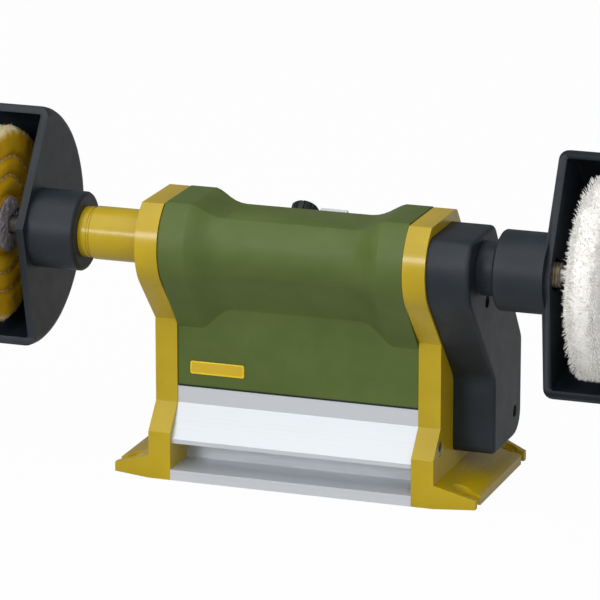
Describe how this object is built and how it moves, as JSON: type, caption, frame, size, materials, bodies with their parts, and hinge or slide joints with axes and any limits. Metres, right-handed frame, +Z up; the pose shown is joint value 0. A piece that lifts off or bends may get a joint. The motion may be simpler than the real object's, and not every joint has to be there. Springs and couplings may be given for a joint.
{
  "type": "dental polishing lathe",
  "caption": "Bench polishing lathe: belt-driven spindle in a two-pillar housing, tapered wheel spindles, a cotton and a wool wheel under swivelling hooded guards, speed knob and rocker switch.",
  "frame": {"origin": "on the bench, under the spindle axis, half way between the two end castings", "axes": "+X along the spindle to the belt side, -Y to the user in front, +Z up"},
  "size_m": [0.4401, 0.136, 0.1804],
  "materials": {
    "tray_aluminium": "anodised, satin",
    "yellow_casting": "smooth mustard yellow paint on die-cast metal",
    "green_moulding": "fine matt olive green",
    "black_moulding": "matt blue-black",
    "switch_plastic": "light grey, satin",
    "motor_metal": "grey paint",
    "winding": "copper coloured",
    "belt_rubber": "matt black",
    "circuit_board": "green board",
    "turned_steel": "turned",
    "screw_steel": "zinc plated",
    "pulley_aluminium": "turned",
    "brassy_steel": "turned, worn",
    "yellow_cotton": "stitched cotton layers",
    "white_wool": "soft wool pile",
    "grey_leather": "pressed, creased"
  },
  "bodies": {
    "housing": {"tray_extrusion": "tray_aluminium", "left_pillar": "yellow_casting", "right_pillar": "yellow_casting", "body_cover": "green_moulding", "belt_cover": "black_moulding", "belt_cover_screws": "screw_steel", "left_pillar_screws": "screw_steel", "right_pillar_screws": "screw_steel", "motor_can": "motor_metal", "motor_stator": "winding", "motor_drive_cap": "motor_metal", "motor_rear_cap": "motor_metal", "motor_screws": "screw_steel", "drive_belt": "belt_rubber", "control_board": "circuit_board", "board_screws": "screw_steel", "potentiometer": "turned_steel", "switch_housing": "switch_plastic", "switch_terminals": "winding", "cord_gland": "black_moulding", "left_bearing_outer_ring": "turned_steel", "right_bearing_outer_ring": "turned_steel", "left_retaining_ring": "turned_steel", "right_retaining_ring": "turned_steel"},
    "spindle": {"spindle_shaft": "turned_steel", "left_bearing_inner_ring": "turned_steel", "right_bearing_inner_ring": "turned_steel", "left_bearing_balls": "turned_steel", "right_bearing_balls": "turned_steel", "spindle_pulley": "pulley_aluminium", "left_taper_spindle": "turned_steel", "right_taper_spindle": "turned_steel", "left_lock_nut": "brassy_steel", "right_lock_nut": "brassy_steel", "cotton_wheel": "yellow_cotton", "cotton_wheel_leather": "grey_leather", "wool_wheel": "white_wool", "wool_wheel_leather": "grey_leather"},
    "rotor": {"rotor_shaft": "turned_steel", "armature": "turned_steel", "commutator": "winding", "cooling_fan": "black_moulding", "motor_pulley": "pulley_aluminium"},
    "left_hood": {"left_guard": "black_moulding", "left_guard_screw": "screw_steel"},
    "right_hood": {"right_guard": "black_moulding", "right_guard_screw": "screw_steel"},
    "knob": {"speed_knob": "black_moulding", "knob_shaft": "turned_steel"},
    "rocker": {"power_rocker": "switch_plastic"}
  },
  "joints": [
    {"name": "spindle_spin", "type": "hinge", "parent": "housing", "child": "spindle", "pos_m": [0, 0, 0.1215], "axis": [1, 0, 0], "continuous": true},
    {"name": "rotor_spin", "type": "hinge", "parent": "housing", "child": "rotor", "pos_m": [0, 0.04305, 0.05], "axis": [1, 0, 0], "continuous": true},
    {"name": "left_guard_swivel", "type": "hinge", "parent": "housing", "child": "left_hood", "pos_m": [-0.1298, 0, 0.1215], "axis": [1, 0, 0], "range_deg": [-40, 45]},
    {"name": "right_guard_swivel", "type": "hinge", "parent": "housing", "child": "right_hood", "pos_m": [0.1255, 0, 0.1215], "axis": [1, 0, 0], "range_deg": [-40, 45]},
    {"name": "speed_knob_turn", "type": "hinge", "parent": "housing", "child": "knob", "pos_m": [-0.0095, 0.0325, 0.12438], "axis": [0, 0.7372, 0.6757], "range_deg": [-135, 135]},
    {"name": "power_rocker_tilt", "type": "hinge", "parent": "housing", "child": "rocker", "pos_m": [0.0116, 0.02831, 0.12895], "axis": [1, 0, 0], "range_deg": [0, 16]}
  ],
  "couplings": [
    {"joint": "rotor_spin", "follows": "spindle_spin", "ratio": 2}
  ]
}
